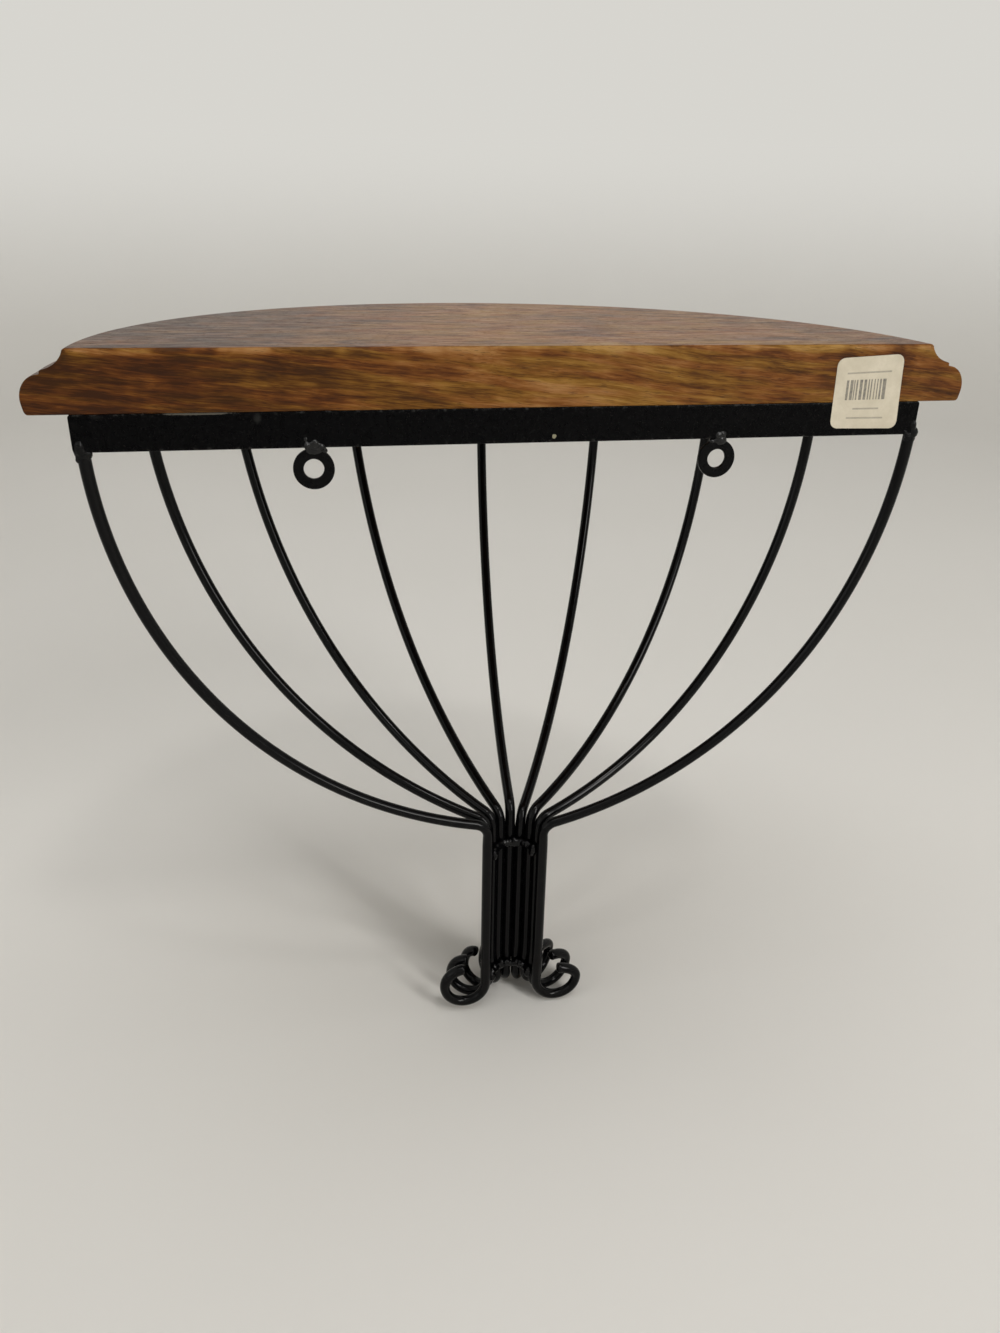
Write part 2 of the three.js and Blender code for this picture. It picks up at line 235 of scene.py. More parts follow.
def grain_noise(tree, place, size, detail=3.0, rough=0.55, turn=(0, 0, 0), shift=(0, 0, 0)):
    """Noise whose patches have the given sizes in mm along the axes, after a turn in degrees."""
    placed = node(
        tree, "Mapping",
        {"Vector": place, "Scale": [length * mm for length in size], "Location": shift,
         "Rotation": [math.radians(angle) for angle in turn]},
        vector_type="TEXTURE",
    )
    spots = node(
        tree, "TexNoise",
        {"Vector": placed.outputs[0], "Scale": 1, "Detail": detail, "Roughness": rough},
    )
    return spots.outputs[0]


def spread(tree, value, low, high, to_low=0.0, to_high=1.0):
    """Takes a value's range from low and high to two others, with smooth ends."""
    mapped = node(
        tree, "MapRange",
        {"Value": value, "From Min": low, "From Max": high, "To Min": to_low, "To Max": to_high},
        interpolation_type="SMOOTHSTEP",
    )
    return mapped.outputs[0]


def blended(tree, share, first, second):
    """Two colours mixed by a share."""
    mix = {0: share, 6: first, 7: second}
    return node(tree, "Mix", mix, data_type="RGBA").outputs[2]


def new_material(name):
    material = bpy.data.materials.new(name)
    material.use_nodes = True
    material.node_tree.nodes.clear()
    return material, material.node_tree


def finish_material(tree, shader):
    tree.links.new(shader.outputs[0], node(tree, "OutputMaterial").inputs[0])


def board_wood():
    material, tree = new_material("board_wood")
    coordinates = node(tree, "TexCoord").outputs["Object"]
    apart = node(tree, "SeparateXYZ", {0: coordinates})
    along, out, up = apart.outputs

    # the fibres run along the wall, fall a little towards one end, and wave about
    sway = node(
        tree, "TexNoise", {"Vector": coordinates, "Scale": 17, "Detail": 3, "Roughness": 0.5}
    )
    centred = node(tree, "VectorMath", {0: sway.outputs["Color"], 1: (-0.5, -0.5, -0.5)})
    swayed = node(
        tree, "VectorMath",
        {0: centred.outputs[0], 1: (0.007, 0.006, 0.005), 2: coordinates},
        operation="MULTIPLY_ADD",
    ).outputs[0]
    fall = (0, -6, 0.7)
    broad = grain_noise(tree, swayed, (60, 18, 6.5), 2, 0.5, fall)
    flecks = grain_noise(tree, swayed, (17, 2.6, 1.9), 3, 0.55, fall)
    fibres = grain_noise(tree, swayed, (10, 0.8, 0.55), 3, 0.6, fall)
    ribbon = grain_noise(tree, swayed, (12, 26, 22), 2, 0.5)
    years = grain_noise(tree, swayed, (420, 36, 17), 1, 0.4, fall, (0.05, 0.4, 0.2))
    year_waves = sums(tree, "PINGPONG", sums(tree, "MULTIPLY", years, 9), 0.5)
    year_line = spread(tree, year_waves, 0.25, 0.5)
    redness = grain_noise(tree, swayed, (40, 12, 3.5), 2, 0.5, fall, (0.3, 0.2, 0.1))
    hairs = grain_noise(tree, swayed, (7, 0.32, 0.24), 2, 0.6, fall, (0.7, 0.2, 0.3))
    pores = grain_noise(tree, swayed, (6, 0.5, 0.36), 2, 0.5, fall, (0.1, 0.5, 0.7))
    pore_mask = spread(tree, pores, 0.6, 0.66)

    # short flecks where the sawn face cuts across the grain, and longer lines on the top
    top = spread(tree, up, 0.0102, 0.011)
    fleck_share = sums(tree, "MULTIPLY_ADD", top, -0.25, 0.6)
    year_share = sums(tree, "MULTIPLY_ADD", top, -0.08, -0.04)
    tone = sums(tree, "MULTIPLY", sums(tree, "SUBTRACT", flecks, 0.5), fleck_share)
    for mark, share in (
        (broad, 0.42), (fibres, 0.45), (ribbon, 0.25),
        (sums(tree, "SUBTRACT", hairs, 0.5), 0.28), (year_line, year_share),
    ):
        tone = sums(tree, "MULTIPLY_ADD", mark, share, tone)

    # darker towards the ends, and more so at one of them
    tone = sums(tree, "SUBTRACT", tone, spread(tree, along, -0.01, 0.12, -0.02, 0.215))
    tone = sums(tree, "SUBTRACT", tone, spread(tree, along, 0.0, -0.16, 0, 0.12))

    # a painted highlight in patches along the sawn face's top edge, where it catches the light from
    # above
    at_top, at_back = spread(tree, up, 0.0074, 0.0104), spread(tree, out, -0.0016, -0.0003)
    band = sums(tree, "MULTIPLY", at_top, at_back)
    band = sums(tree, "MULTIPLY", band, spread(tree, ribbon, 0.35, 0.65, 0.05, 0.3))
    tone = sums(tree, "ADD", tone, band)

    golden = node(tree, "ValToRGB", {0: tone})
    reddish = node(tree, "ValToRGB", {0: tone})
    for ramp, shades in (
        (golden, ((58, 32, 6), (90, 55, 14), (118, 79, 26), (140, 101, 42), (162, 124, 66))),
        (reddish, ((54, 27, 7), (90, 49, 14), (117, 70, 26), (138, 92, 46), (158, 115, 70))),
    ):
        stops = ramp.color_ramp.elements
        stops[0].position, stops[0].color = 0.26, tint(*shades[0])
        stops[1].position, stops[1].color = 0.84, tint(*shades[-1])
        for position, shade in zip((0.4, 0.52, 0.66), shades[1:-1]):
            stops.new(position).color = tint(*shade)
    hue = spread(tree, redness, 0.38, 0.62)
    wood_colour = blended(tree, hue, golden.outputs[0], reddish.outputs[0])

    # barer wood where the edge is rubbed, and dark open pores
    rubbed = node(tree, "Attribute", attribute_name="edge").outputs["Fac"]
    worn = sums(tree, "MULTIPLY", rubbed, spread(tree, broad, 0.4, 0.65, 0.0, 0.25))
    colour = blended(tree, worn, wood_colour, tint(150, 112, 62))
    colour = blended(tree, sums(tree, "MULTIPLY", pore_mask, 0.5), colour, tint(46, 26, 12))

    height = sums(tree, "MULTIPLY_ADD", pore_mask, -0.35, sums(tree, "MULTIPLY", fibres, 0.5))
    height = sums(tree, "MULTIPLY_ADD", flecks, 1.6, height)
    relief = node(tree, "Bump", {"Height": height, "Distance": 0.00009, "Strength": 0.7})
    roughness = spread(tree, flecks, 0.3, 0.7, 0.42, 0.3)
    roughness = sums(tree, "MULTIPLY_ADD", rubbed, 0.3, roughness)
    roughness = sums(tree, "MULTIPLY_ADD", pore_mask, 0.2, roughness)
    shader = node(
        tree, "BsdfPrincipled",
        {"Base Color": colour, "Roughness": roughness, "Normal": relief.outputs[0],
         "Specular IOR Level": 0.15},
    )
    finish_material(tree, shader)
    return material


def dress(piece, material, slot, *nodes):
    """Gives a piece its material and puts it in the place of its CAD nodes. The slot is not used.
    """
    piece.data.materials.append(material)
    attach(piece, "root")
    if nodes:
        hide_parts(*nodes)


board = make_board()
even_shading(board)
dress(board, board_wood(), "board_wood", "shelf_board")


# The back bar: flat steel on edge across the back, under the board. Its edges are rounded as the
# mill leaves them and its corners are ground off. All the steel is painted black after welding.
bar_low, bar_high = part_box("back_bar")
frame_middle = (bar_low.x + bar_high.x) / 2 / mm
frame_radius = (bar_high.x - bar_low.x) / 2 / mm
bar_thickness = (bar_high.y - bar_low.y) / mm
bar_height = (bar_high.z - bar_low.z) / mm
frame_top = bar_high.z / mm
bar_corner = 1.2
bar_edge = 0.45
bar_dents = 0.07
bar_end_depths = (0, 0.06, 0.16, 0.3, 0.5, 0.8, 1.2)
bar_steps = 90


def bar_section():
    """Places round the bar's section from its middle, each with whether it is on a rounded edge."""
    half_y, half_z = bar_thickness / 2, bar_height / 2
    section = []
    for sign_y, sign_z, start in ((1, 1, 0), (-1, 1, 90), (-1, -1, 180), (1, -1, 270)):
        centre = (sign_y * (half_y - bar_edge), sign_z * (half_z - bar_edge))
        section += [(p, True) for p in arc_points(centre, bar_edge, bar_edge, start, start + 90, 4)]
        if start in (90, 270):
            side = -half_y if start == 90 else half_y
            sign = 1 if start == 90 else -1
            rise = half_z - bar_edge
            section += [((side, sign * rise * (1 - 2 * k / 5)), False) for k in range(1, 5)]
    return section


def swept_bar(name, stations):
    """A bar through stations: a middle point, an outward direction and insets of its section."""
    section = bar_section()
    points, marks = [], []
    for middle, outward, inset_y, inset_z in stations:
        for (across, up), is_edge in section:
            shrunk = across * max(0, 1 - inset_y / (bar_thickness / 2))
            shrunk_up = up * max(0, 1 - inset_z / (bar_height / 2))
            spot = Vector((middle.x * 0.05, middle.y * 0.05, up * 0.12)) + Vector((9, 4, 2))
            dent = bar_dents * (1 + noise.noise(spot))
            shrunk -= math.copysign(dent, across) if abs(across) > 1 else 0
            points.append((middle + outward * shrunk + Vector((0, 0, shrunk_up))) * mm)
            marks.append(1.0 if is_edge else 0.0)
    size = len(section)
    faces = ring_faces(len(stations), size)
    faces.append(list(range(size)))
    faces.append([(len(stations) - 1) * size + i for i in range(size)])
    return make_piece(name, points, faces, marks)


def make_back_bar():
    middle_y, middle_z = bar_low.y / mm + bar_thickness / 2, frame_top - bar_height / 2
    insets = []
    for depth in bar_end_depths:
        corner = bar_corner - math.sqrt(bar_corner ** 2 - (bar_corner - depth) ** 2)
        side = bar_edge - math.sqrt(bar_edge ** 2 - max(0, bar_edge - depth) ** 2)
        insets.append((depth, side, corner))
    reach, straight = frame_radius, frame_radius - bar_corner
    rows = [(-reach + depth, side, corner) for depth, side, corner in insets]
    for k in range(1, bar_steps):
        rows.append((-reach + bar_corner + 2 * straight * k / bar_steps, 0, 0))
    rows += [(reach - depth, side, corner) for depth, side, corner in reversed(insets)]
    stations = []
    for x, side, corner in rows:
        middle = Vector((frame_middle + x, middle_y, middle_z))
        stations.append((middle, Vector((0, 1, 0)), side, corner))
    return swept_bar("back_bar_rounded", stations)


def black_paint():
    """Shader group: black paint on rough steel, mottled, with lumps under it and a few chips."""
    tree = bpy.data.node_groups.new("black_paint", "ShaderNodeTree")
    face = tree.interface
    for name in ("Lumps", "Chips", "Wear", "Dust", "Peel", "Matt"):
        face.new_socket(name, in_out="INPUT", socket_type="NodeSocketFloat")
    for name, kind in (("Colour", "Color"), ("Roughness", "Float"), ("Height", "Float")):
        face.new_socket(name, in_out="OUTPUT", socket_type="NodeSocket" + kind)
    given = tree.nodes.new("NodeGroupInput").outputs
    coordinates = node(tree, "TexCoord").outputs["Object"]

    mottle = grain_noise(tree, coordinates, (2.4, 2.4, 2.4), 3, 0.6)
    peel = grain_noise(tree, coordinates, (0.7, 0.7, 0.7), 2, 0.5)
    rolling = grain_noise(tree, coordinates, (9, 9, 9), 2, 0.5)
    colour = blended(tree, spread(tree, mottle, 0.3, 0.7), tint(3, 3, 4), tint(8, 8, 9))

    # dust settles on what faces up
    normal = node(tree, "NewGeometry").outputs["Normal"]
    faces_up = spread(tree, node(tree, "SeparateXYZ", {0: normal}).outputs[2], 0.3, 1.0)
    dusty = sums(tree, "MULTIPLY", faces_up, spread(tree, mottle, 0.4, 0.8))
    dusty = sums(tree, "MULTIPLY", dusty, given["Dust"])
    colour = blended(tree, dusty, colour, tint(98, 97, 95))

    # worn edges show a duller grey, and small chips show pale primer
    edge = node(tree, "Attribute", attribute_name="edge").outputs["Fac"]
    worn = sums(tree, "MULTIPLY", spread(tree, edge, 0.7, 1.0), spread(tree, mottle, 0.52, 0.66))
    worn = sums(tree, "MULTIPLY", worn, given["Wear"])
    colour = blended(tree, worn, colour, tint(58, 57, 55))
    chip_noise = grain_noise(
        tree, coordinates, (5, 5, 5), 4, 0.62, shift=(0.011, 0.003, 0.005)
    )
    chip_edge = sums(tree, "SUBTRACT", 0.86, sums(tree, "MULTIPLY", given["Chips"], 0.1))
    chips = sums(tree, "GREATER_THAN", chip_noise, chip_edge)
    colour = blended(tree, chips, colour, tint(150, 146, 132))

    roughness = spread(tree, mottle, 0.25, 0.75, 0.24, 0.36)
    roughness = sums(tree, "MULTIPLY", roughness, given["Matt"])
    roughness = sums(tree, "MULTIPLY_ADD", dusty, 0.4, roughness)
    height = sums(tree, "MULTIPLY", rolling, given["Lumps"])
    height = sums(tree, "MULTIPLY_ADD", sums(tree, "MULTIPLY", mottle, 0.5), given["Peel"], height)
    height = sums(tree, "MULTIPLY_ADD", sums(tree, "MULTIPLY", peel, 0.2), given["Peel"], height)
    height = sums(tree, "MULTIPLY_ADD", chips, -0.12, height)
    leaving = tree.nodes.new("NodeGroupOutput")
    for name, value in (("Colour", colour), ("Roughness", roughness), ("Height", height)):
        tree.links.new(value, leaving.inputs[name])
    return tree


paint_group = black_paint()


def paint(name, lumps, peel, chips, wear, dust, matt=1.0, shine=0.08, scuffs=()):
    """Painted steel with its own values. A scuff is a place, half sizes, a blur and a colour."""
    material, tree = new_material(name)
    values = {
        "Lumps": lumps, "Peel": peel, "Chips": chips, "Wear": wear, "Dust": dust, "Matt": matt,
    }
    layer = tree.nodes.new("ShaderNodeGroup")
    layer.node_tree = paint_group
    for socket, value in values.items():
        layer.inputs[socket].default_value = value
    colour = layer.outputs["Colour"]
    if scuffs:
        coordinates = node(tree, "TexCoord").outputs["Object"]
        ragged = node(tree, "TexNoise", {"Vector": coordinates, "Scale": 900, "Detail": 3})
    for place, sizes, blur, shade in scuffs:
        placed = node(
            tree, "Mapping",
            {"Vector": coordinates, "Location": [p * mm for p in place],
             "Scale": [size * mm for size in sizes]},
            vector_type="TEXTURE",
        )
        away = node(tree, "VectorMath", {0: placed.outputs[0]}, operation="LENGTH").outputs["Value"]
        away = sums(tree, "MULTIPLY_ADD", ragged.outputs[0], 0.9, away)
        colour = blended(tree, spread(tree, away, 1.45 + blur, 1.35 - blur), colour, shade)
    height = layer.outputs["Height"]
    relief = node(tree, "Bump", {"Height": height, "Distance": 0.0003, "Strength": 0.6})
    shader = node(
        tree, "BsdfPrincipled",
        {"Base Color": colour, "Roughness": layer.outputs["Roughness"], "Normal": relief.outputs[0],
         "Specular IOR Level": shine},
    )
    finish_material(tree, shader)
    return material


back_bar = make_back_bar()
even_shading(back_bar)
bar_scuffs = [
    ((-9.7, 0, -22.3), (0.85, 1, 0.85), 0.1, tint(142, 138, 116)),
    ((122, -0.3, -11.4), (12, 1.2, 0.55), 0.15, tint(84, 81, 74)),
    ((101.2, 0, -13.4), (1.2, 1, 1.6), 0.6, tint(34, 34, 33)),
    ((156.5, 0, -12.2), (1.6, 1, 0.7), 0.6, tint(22, 22, 22)),
]
bar_paint = paint(
    "bar_paint", lumps=0.5, peel=0.04, chips=0.2, wear=0.6, dust=0.05, matt=0.8, shine=0.05,
    scuffs=bar_scuffs,
)
dress(back_bar, bar_paint, "frame_paint", "back_bar")


# The hoop: the same flat bar bent to a half circle that follows the board's edge from below.
# Its two ends butt against the back bar, where the corner welds hold them.
hoop_steps = 120
hoop_centre = Vector((frame_middle, -bar_thickness, 0))
hoop_middle_radius = frame_radius - bar_thickness / 2


def around_hoop(radius, bearing, height, centre=hoop_centre):
    """A point by its bearing in degrees from +X round towards the room, in mm."""
    angle = math.radians(bearing)
    x, y = centre.x + radius * math.cos(angle), centre.y - radius * math.sin(angle)
    return Vector((x, y, height))


def make_hoop():
    stations = []
    for k in range(hoop_steps + 1):
        bearing = 180 * k / hoop_steps
        middle = around_hoop(hoop_middle_radius, bearing, frame_top - bar_height / 2)
        outward = around_hoop(1, bearing, 0, Vector((0, 0, 0)))
        stations.append((middle, outward, 0, 0))
    return swept_bar("hoop_rounded", stations)


hoop = make_hoop()
even_shading(hoop)
hoop_paint = paint("hoop_paint", lumps=0.5, peel=0.08, chips=0.5, wear=0.5, dust=0.1)
dress(hoop, hoop_paint, "frame_paint", "hoop_bar")


# The nine wires: round steel, bent by hand. Each is welded under the hoop, sweeps down and in,
# turns down in a half-round bundle with the others, and ends in a scroll with a sawn end.
wire_radius = 2.4
seat_gap = 0.3
wire_bearings = [0, 24.8, 45.5, 68.6, 94.1, 116.2, 137.7, 158.3, 180]
end_wire_insets = {0: 1.6, 8: -0.8}
bundle_radius = 13
bundle_middle = Vector((frame_middle - 1.5, -wire_radius, 0))
sweep_radii = [183.7, 194.1, 209, 218.2, 188.9, 184.5, 171.6, 179.1, 188.2]
sweep_levels = [8.8, 0.9, -10.4, -16.9, 3.5, 11.5, 20.2, 15.1, 7.7]
neck_radius = 7
scroll_level = 295.5
scroll_trims = [-2.6, -0.9, -0.1, -0.1, 0.1, 0.1, 0.5, 0.1, 0]
scroll_radii = [10.2, 9.1, 8, 6.6, 8.6, 9, 11, 10.6, 10.3]
scroll_heights = [20.3, 19.5, 19.6, 18.4, 18.1, 17.6, 15.7, 16.9, 16.6]
scroll_tail_turn = 88
sweep_steps, neck_steps, stem_steps, scroll_steps, tail_steps = 80, 14, 16, 36, 18
wire_sides = 18
wire_end = [(0, 0.5), (0.12, 0.22), (0.4, 0)]
paint_swell = 0.2
swell_from, swell_to, swell_in, swell_out = 196, 286, 4, 8


def wire_seat(index):
    """The middle of a wire's top, under the hoop or in line with the back bar's end."""
    if index in end_wire_insets:
        radius = hoop_middle_radius - end_wire_insets[index]
        wall_middle = Vector((frame_middle, -wire_radius, 0))
        return around_hoop(radius, wire_bearings[index], 0, wall_middle)
    return around_hoop(hoop_middle_radius, wire_bearings[index], 0)


def wire_line(index):
    """Points along a wire's middle, from its top to its sawn end, in mm."""
    slot = around_hoop(bundle_radius, index * 22.5, 0, bundle_middle)
    outward = wire_seat(index) - slot
    reach = outward.length
    outward.normalize()
    radius, level = sweep_radii[index], sweep_levels[index]
    top_turn = math.asin((bar_height - 0.2 - level) / radius)
    start_turn = math.asin((bar_height + seat_gap - level) / radius)
    centre = (reach - radius * math.cos(start_turn), -level)
    neck_out = neck_radius - centre[0]
    neck_drop = math.sqrt((radius + neck_radius) ** 2 - neck_out ** 2)
    neck_turn = math.degrees(math.atan2(neck_drop, neck_out))
    scroll = scroll_radii[index]
    scroll_middle = (scroll, scroll - scroll_level - scroll_trims[index])
    neck_middle = (neck_radius, -level - neck_drop)
    tail_rise = scroll_heights[index] - scroll
    flat = arc_points(centre, radius, radius, math.degrees(-top_turn), -neck_turn, sweep_steps)
    flat += arc_points(
        neck_middle, neck_radius, neck_radius, 180 - neck_turn, 180, neck_steps
    )[1:]
    stem_top = flat[-1][1]
    straight = stem_top - scroll_middle[1]
    flat += [(0, stem_top - straight * k / stem_steps) for k in range(1, stem_steps + 1)]
    flat += arc_points(scroll_middle, scroll, scroll, 180, 360, scroll_steps)[1:]
    flat += arc_points(scroll_middle, scroll, tail_rise, 0, scroll_tail_turn, tail_steps)[1:]
    return [slot + outward * out + Vector((0, 0, frame_top + height)) for out, height in flat]


def painted_radius(place):
    """The wires swell a little in the bundle, where paint has closed the gaps between them."""
    level = frame_top - place.z
    begun = min(max((level - swell_from) / swell_in, 0), 1)
    left = min(max((swell_to - level) / swell_out, 0), 1)
    return wire_radius + paint_swell * (begun * left)


def swept_wire(name, line):
    """A round wire along a line, with its ends sawn off and their edges eased."""
    last = len(line) - 1
    ahead = [(line[min(i + 1, last)] - line[max(i - 1, 0)]).normalized() for i in range(last + 1)]
    rings = [(line[0] + ahead[0] * d, ahead[0], wire_radius - s) for d, s in wire_end]
    rings += [(p, a, painted_radius(p)) for p, a in zip(line[1:-1], ahead[1:-1])]
    rings += [(line[-1] - ahead[-1] * d, ahead[-1], wire_radius - s) for d, s in reversed(wire_end)]
    side = Vector((0, 1, 0)).cross(ahead[0])
    if side.length < 0.2:
        side = Vector((1, 0, 0)).cross(ahead[0])
    points = []
    for middle, forward, size in rings:
        side = (side - forward * side.dot(forward)).normalized()
        other = forward.cross(side)
        for k in range(wire_sides):
            angle = 2 * math.pi * k / wire_sides
            across, over = size * math.cos(angle), size * math.sin(angle)
            points.append((middle + side * across + other * over) * mm)
    faces = ring_faces(len(rings), wire_sides)
    faces.append(list(range(wire_sides)))
    faces.append([(len(rings) - 1) * wire_sides + k for k in range(wire_sides)])
    return make_piece(name, points, faces)


wire_paint = paint(
    "wire_paint", lumps=0.3, peel=0.0, chips=0.2, wear=0.0, dust=0.02, matt=0.42, shine=0.14
)
wire_lines = [wire_line(index) for index in range(9)]
for index, line in enumerate(wire_lines):
    wire = swept_wire(f"wire_round_{index + 1}", line)
    dress(wire, wire_paint, "frame_paint", f"wire_{index + 1}")


# The welds at the tops of the wires: each inner wire has a lumpy fillet all round under the hoop,
# and the two outer wires are welded up the back of the bar's ends, over the frame's corners.
bar_foot = frame_top - bar_height
weld_grain = 0.32
fillet_radius = 2.9
fillet_lumps = 9


def with_modifiers(piece):
    """The mesh of a piece with its modifiers applied."""
    return bpy.data.meshes.new_from_object(
        piece.evaluated_get(bpy.context.evaluated_depsgraph_get())
    )


def weld_lump(name, blobs, seed, ripple=0.16, passes=3):
    """Beads of weld metal run together. Each blob is a middle and three half sizes, in mm."""
    rough = bmesh.new()
    for middle, sizes in blobs:
        matrix = Matrix.Translation(middle) @ Matrix.Diagonal((*sizes, 1))
        bmesh.ops.create_icosphere(rough, subdivisions=3, radius=1, matrix=matrix)
    mesh = bpy.data.meshes.new(name)
    rough.to_mesh(mesh)
    rough.free()
    holder = add_to_scene(name, mesh)
    merge = holder.modifiers.new("run together", "REMESH")
    merge.mode, merge.voxel_size = "VOXEL", weld_grain
    ready = with_modifiers(holder)
    bpy.data.objects.remove(holder)
    shaped = bmesh.new()
    shaped.from_mesh(ready)
    for _ in range(passes):
        bmesh.ops.smooth_vert(
            shaped, verts=shaped.verts, factor=0.5,
            use_axis_x=True, use_axis_y=True, use_axis_z=True,
        )
    shaped.normal_update()
    for vert in shaped.verts:
        swell = noise.fractal(vert.co * 0.9 + Vector((seed * 3.7, 0, 0)), 0.8, 2.0, 3)
        vert.co += vert.normal * swell * ripple
        vert.co *= mm
    shaped.to_mesh(ready)
    shaped.free()
    ready.shade_smooth()
    return add_to_scene(name, ready)


weld_paint = paint(
    "weld_paint", lumps=0.5, peel=0.25, chips=0.4, wear=0.0, dust=0.32, matt=0.6, shine=0.35
)
weld_random = random.Random(7)
for index in range(1, 8):
    seat = wire_seat(index)
    blobs = [(Vector((seat.x, seat.y, bar_foot - 0.2)), (3.3, 3.3, 1.5))]
    for k in range(fillet_lumps):
        angle = 2 * math.pi * (k + weld_random.uniform(-0.2, 0.2)) / fillet_lumps
        size = weld_random.uniform(1.0, 1.5)
        x = seat.x + fillet_radius * math.cos(angle)
        y = seat.y + fillet_radius * math.sin(angle)
        tall = size * weld_random.uniform(0.9, 1.3)
        blobs.append((Vector((x, y, bar_foot - 0.9)), (size, size, tall)))
    weld = weld_lump(f"wire_fillet_{index + 1}", blobs, index)
    dress(weld, weld_paint, "frame_paint", f"wire_weld_{index + 1}")

corner_welds = (
    ("left", 0, 21, [
        ((0.6, -0.6, 1.6), (1.9, 1.3, 3.0)), ((-0.4, -1.6, -0.6), (3.0, 1.9, 2.6)),
        ((1.9, -1.7, 0.4), (1.3, 1.6, 2.2)), ((0.3, -1.4, -2.6), (2.6, 1.4, 2.0)),
    ]),
    ("right", 8, 22, [
        ((0.3, -0.5, 3.3), (1.5, 1.4, 2.7)), ((-0.7, -1.1, 0.6), (2.1, 1.8, 2.6)),
        ((3.3, -0.3, 1.0), (0.9, 0.8, 0.9)), ((2.1, -0.8, -0.2), (1.5, 1.3, 1.2)),
        ((0.2, -1.5, -1.9), (2.6, 1.5, 2.0)),
    ]),
)
corner_paint = paint(
    "corner_paint", lumps=0.5, peel=0.2, chips=0.3, wear=0.0, dust=0.14, matt=0.7, shine=0.18
)
for side, index, seed, lumps in corner_welds:
    seat = wire_seat(index)
    blobs = [(Vector((seat.x + x, y, bar_foot + z)), sizes) for (x, y, z), sizes in lumps]
    weld = weld_lump(f"corner_weld_{side}", blobs, seed)
    dress(weld, corner_paint, "frame_paint", f"wire_weld_{index + 1}")


# The two hanging eyes: thick flat steel rings under the back bar, each held by a lump of weld
# across its joint with the bar. Wall hooks go through their holes.
ring_sides = 72
ring_edge = 0.45
ring_hole_radius = 3.8


def make_ring(side):
    low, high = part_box(f"hanger_ring_{side}")
    middle = (low + high) / 2 / mm
    far, near = (high.x - low.x) / 2 / mm - ring_edge, ring_hole_radius + ring_edge
    rise = (high.y - low.y) / 2 / mm - ring_edge
    section = []
    corners = (far, rise), (near, rise), (near, -rise), (far, -rise)
    for centre, start in zip(corners, (0, 90, 180, 270)):
        section += arc_points(centre, ring_edge, ring_edge, start, start + 90, 4)
    points = []
    for k in range(ring_sides):
        angle = 2 * math.pi * k / ring_sides
        for radius, across in section:
            uneven = 0.08 * noise.noise(Vector((math.cos(angle), math.sin(angle), middle.x)))
            reach = radius - abs(uneven)
            place = middle + Vector((reach * math.cos(angle), across, reach * math.sin(angle)))
            points.append(place * mm)
    faces = ring_faces(ring_sides, len(section), closed=True)
    ring = make_piece(f"ring_rounded_{side}", points, faces)
    even_shading(ring)
    return ring, middle


ring_welds = {
    "left": [
        ((-0.8, 0.9, 9.8), (1.7, 1.3, 1.6)), ((2.0, 0.9, 9.0), (1.5, 1.3, 1.5)),
        ((-3.1, 0.6, 8.4), (1.8, 1.4, 1.6)), ((-0.3, 0.4, 7.2), (3.2, 1.7, 2.2)),
        ((2.4, 0.9, 11.4), (0.9, 0.8, 1.3)), ((-4.2, 0.0, 6.6), (1.2, 1.1, 1.2)),
        ((0, -1.4, 8.0), (3.1, 1.5, 2.0)),
    ],
    "right": [
        ((0.3, 0.9, 9.5), (1.6, 1.3, 1.6)), ((-1.5, 0.9, 9.6), (1.6, 1.3, 1.7)),
        ((-0.8, 0.7, 7.4), (2.6, 1.6, 2.3)), ((2.7, 0.3, 7.1), (1.2, 1.1, 1.1)),
        ((-0.9, -1.4, 8.0), (2.9, 1.5, 2.0)),
    ],
}
ring_paint = paint("ring_paint", lumps=0.6, peel=0.3, chips=0.5, wear=0.3, dust=0.2)
for side, blobs in ring_welds.items():
    ring, ring_middle = make_ring(side)
    dress(ring, ring_paint, "frame_paint", f"hanger_ring_{side}")
    placed = [(ring_middle + Vector(place), sizes) for place, sizes in blobs]
    weld = weld_lump(f"ring_lump_{side}", placed, len(blobs))
    dress(weld, weld_paint, "frame_paint", f"ring_weld_{side}")


# The two beads of weld that hold the bundle: run along the inside of the half-round of wires,
# one just under the necks and one above the scrolls.
bead_radius = bundle_radius - wire_radius - 0.8
bead_levels = {"top": 206.7, "bottom": 280.5}
bead_paint = paint(
    "bead_paint", lumps=0.3, peel=0.05, chips=0.0, wear=0.0, dust=0.0, matt=0.35, shine=0.2
)
for seed, (end, level) in enumerate(bead_levels.items(), 31):
    draw = random.Random(seed)
    blobs = []
    for k in range(17):
        bearing = 15 + 150 * k / 16
        height = frame_top - level + draw.uniform(-0.5, 0.5)
        size = draw.uniform(1.5, 2.0)
        sizes = (size, size, size * draw.uniform(1.1, 1.5))
        blobs.append((around_hoop(bead_radius, bearing, height, bundle_middle), sizes))
    for bearing in (17, 163):
        height = frame_top - level - 1.6
        where = around_hoop(bead_radius - 0.4, bearing, height, bundle_middle)
        blobs.append((where, (1.8, 1.8, 2.6)))
    bead = weld_lump(f"bundle_bead_{end}", blobs, seed, ripple=0.12, passes=6)
    dress(bead, bead_paint, "frame_paint", f"bundle_weld_{end}")


# The tabs: four small drilled plates welded inside the frame, flush with its top, with a zinc
# plated pan-head screw up through each into the board.
screw_head_radius = 3.5
screw_head_height = 2.4
shank_radius = 1.7
thread_root, thread_crest, thread_pitch, thread_turns = 1.35, 1.72, 1.25, 9
recess_length, recess_width, recess_depth = 3.6, 0.75, 2.6


